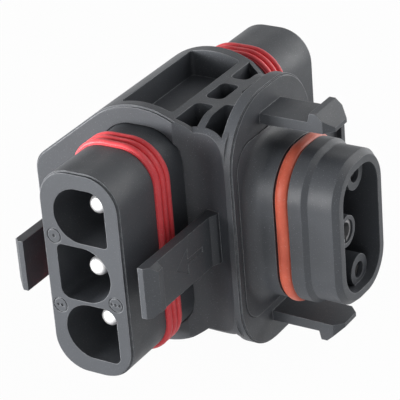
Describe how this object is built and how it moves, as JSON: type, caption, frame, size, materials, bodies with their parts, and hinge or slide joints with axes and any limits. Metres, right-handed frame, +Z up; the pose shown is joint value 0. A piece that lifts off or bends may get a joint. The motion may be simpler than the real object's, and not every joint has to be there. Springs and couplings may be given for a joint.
{
  "type": "sealed T splitter connector",
  "caption": "Sealed T splitter with two in-line plugs and a shrouded branch plug, keyed chambers, ring seals and hooked latch arms.",
  "frame": {"origin": "middle of the bounding box; the branch axis runs through it, and the axis through both in-line plugs crosses that axis 6.15 mm behind it", "axes": "+Y along the through axis towards the back plug, +X along the branch towards the shroud, +Z up, towards the neutral pole"},
  "size_m": [0.0604, 0.0726, 0.0508],
  "materials": {
    "black_plastic": "satin, glass-filled",
    "red_rubber": "satin",
    "orange_rubber": "satin",
    "plated_contact": "silver plated",
    "copper_bar": "rolled"
  },
  "bodies": {
    "root": {"housing": "black_plastic", "front_insert": "black_plastic", "back_insert": "black_plastic", "branch_insert": "black_plastic", "front_seal": "red_rubber", "back_seal": "red_rubber", "branch_o_ring": "orange_rubber", "contact_carrier": "black_plastic", "front_pin_n": "plated_contact", "front_pin_earth": "plated_contact", "front_pin_l": "plated_contact", "back_pin_n": "plated_contact", "back_pin_earth": "plated_contact", "back_pin_l": "plated_contact", "busbar_n": "copper_bar", "busbar_earth": "copper_bar", "busbar_l": "copper_bar", "branch_socket_n": "plated_contact", "branch_socket_earth": "plated_contact", "branch_socket_l": "plated_contact"}
  },
  "joints": []
}
